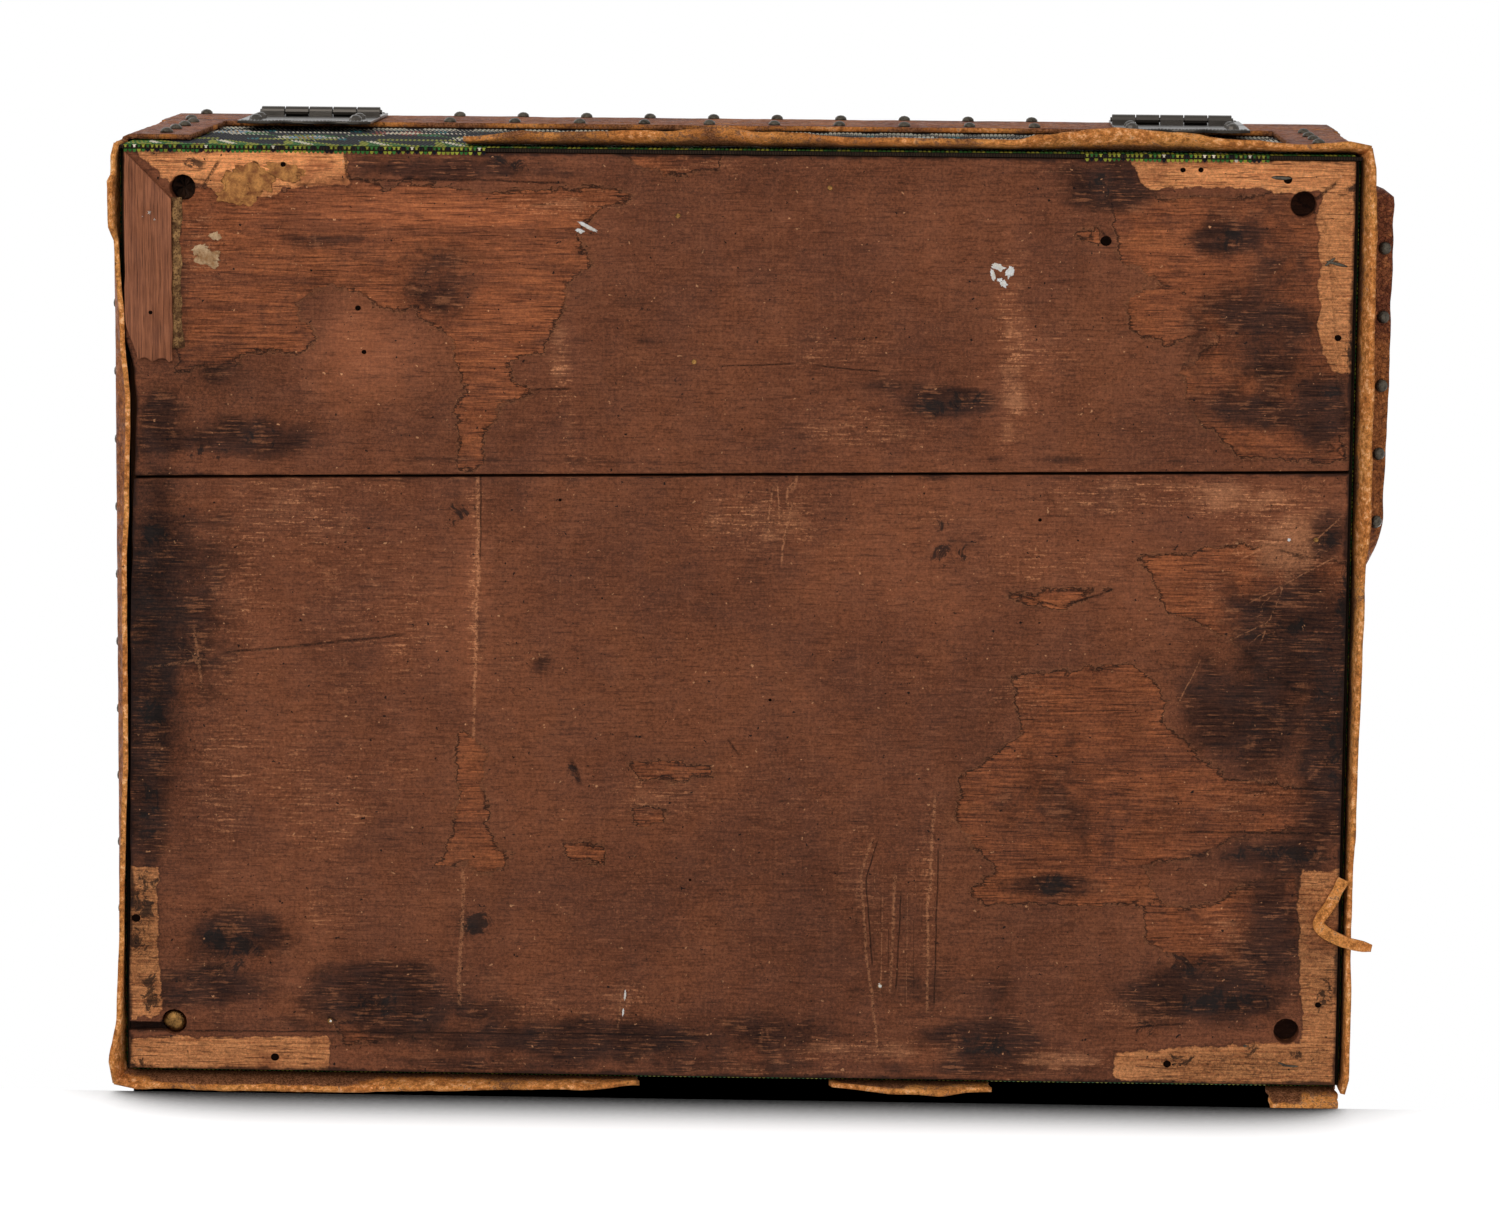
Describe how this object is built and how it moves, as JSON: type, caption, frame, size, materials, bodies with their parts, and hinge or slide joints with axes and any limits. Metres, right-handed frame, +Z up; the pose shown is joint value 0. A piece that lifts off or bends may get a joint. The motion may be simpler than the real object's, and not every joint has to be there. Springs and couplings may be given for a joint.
{
  "type": "beadwork document box",
  "caption": "Old wooden document box with a lid on two back hinges, bead panels, tacked leather edging and the marks of lost feet.",
  "frame": {"origin": "under the middle of the whole object's bounding box, on the surface that the box stands on", "axes": "+X to the right seen from the front, +Y to the back where the hinges are, +Z up"},
  "size_m": [0.4784, 0.3698, 0.1974],
  "materials": {
    "board_wood": "thin dark brown stain, flaked off to bare softwood in patches",
    "carcass_wood": "bare aged softwood",
    "walnut": "dry unpolished walnut",
    "beadwork": "glass seed beads sewn in rows on cloth",
    "leather": "dry vegetable tanned leather, worn through to the flesh side",
    "hinge_metal": "dark patina with rubbed edges",
    "brass": "dull aged brass",
    "lining_paper": "matt aged paper"
  },
  "bodies": {
    "box": {"back_wall": "carcass_wood", "bead_panel_back": "beadwork", "bottom_edging_back": "leather", "rim_edging_back": "leather", "hinge_body_leaf_left": "hinge_metal", "hinge_pin_left": "hinge_metal", "hinge_body_leaf_right": "hinge_metal", "hinge_pin_right": "hinge_metal", "left_wall": "carcass_wood", "bead_panel_left": "beadwork", "bottom_edging_left": "leather", "rim_edging_left": "leather", "front_wall": "carcass_wood", "bead_panel_front": "beadwork", "bottom_edging_front": "leather", "bottom_edging_scrap": "leather", "bottom_edging_tab": "leather", "rim_edging_front": "leather", "lock_case": "brass", "keyhole_plate": "brass", "right_wall": "carcass_wood", "bead_panel_right": "beadwork", "bottom_edging_right": "leather", "rim_edging_right": "leather", "bottom_board_front": "board_wood", "bottom_board_rear": "board_wood", "foot_facing": "walnut", "foot_stud": "brass", "foot_dowel_stub": "carcass_wood", "edge_thong": "leather", "corner_edging_back_right": "leather", "corner_edging_back_left": "leather", "corner_edging_front_left": "leather", "corner_edging_front_right": "leather", "floor_lining": "lining_paper", "wall_lining": "lining_paper"},
    "lid": {"lid_top_board": "carcass_wood", "lid_front_rim": "carcass_wood", "lid_back_rim": "carcass_wood", "lid_left_rim": "carcass_wood", "lid_right_rim": "carcass_wood", "bead_panel_lid": "beadwork", "lid_edging_front": "leather", "lid_edging_back": "leather", "lid_edging_left": "leather", "lid_edging_right": "leather", "hinge_lid_leaf_left": "hinge_metal", "hinge_lid_leaf_right": "hinge_metal", "lid_catch": "brass", "lid_lining": "lining_paper"},
    "bolt": {"lock_bolt": "brass"}
  },
  "joints": [
    {"name": "lid_hinge", "type": "hinge", "parent": "box", "child": "lid", "pos_m": [0.0036, 0.18151, 0.14975], "axis": [-1, 0, 0], "range_deg": [0, 170]},
    {"name": "lock_bolt_slide", "type": "slide", "parent": "box", "child": "bolt", "axis": [-1, 0, 0], "range_m": [0, 0.007]}
  ]
}
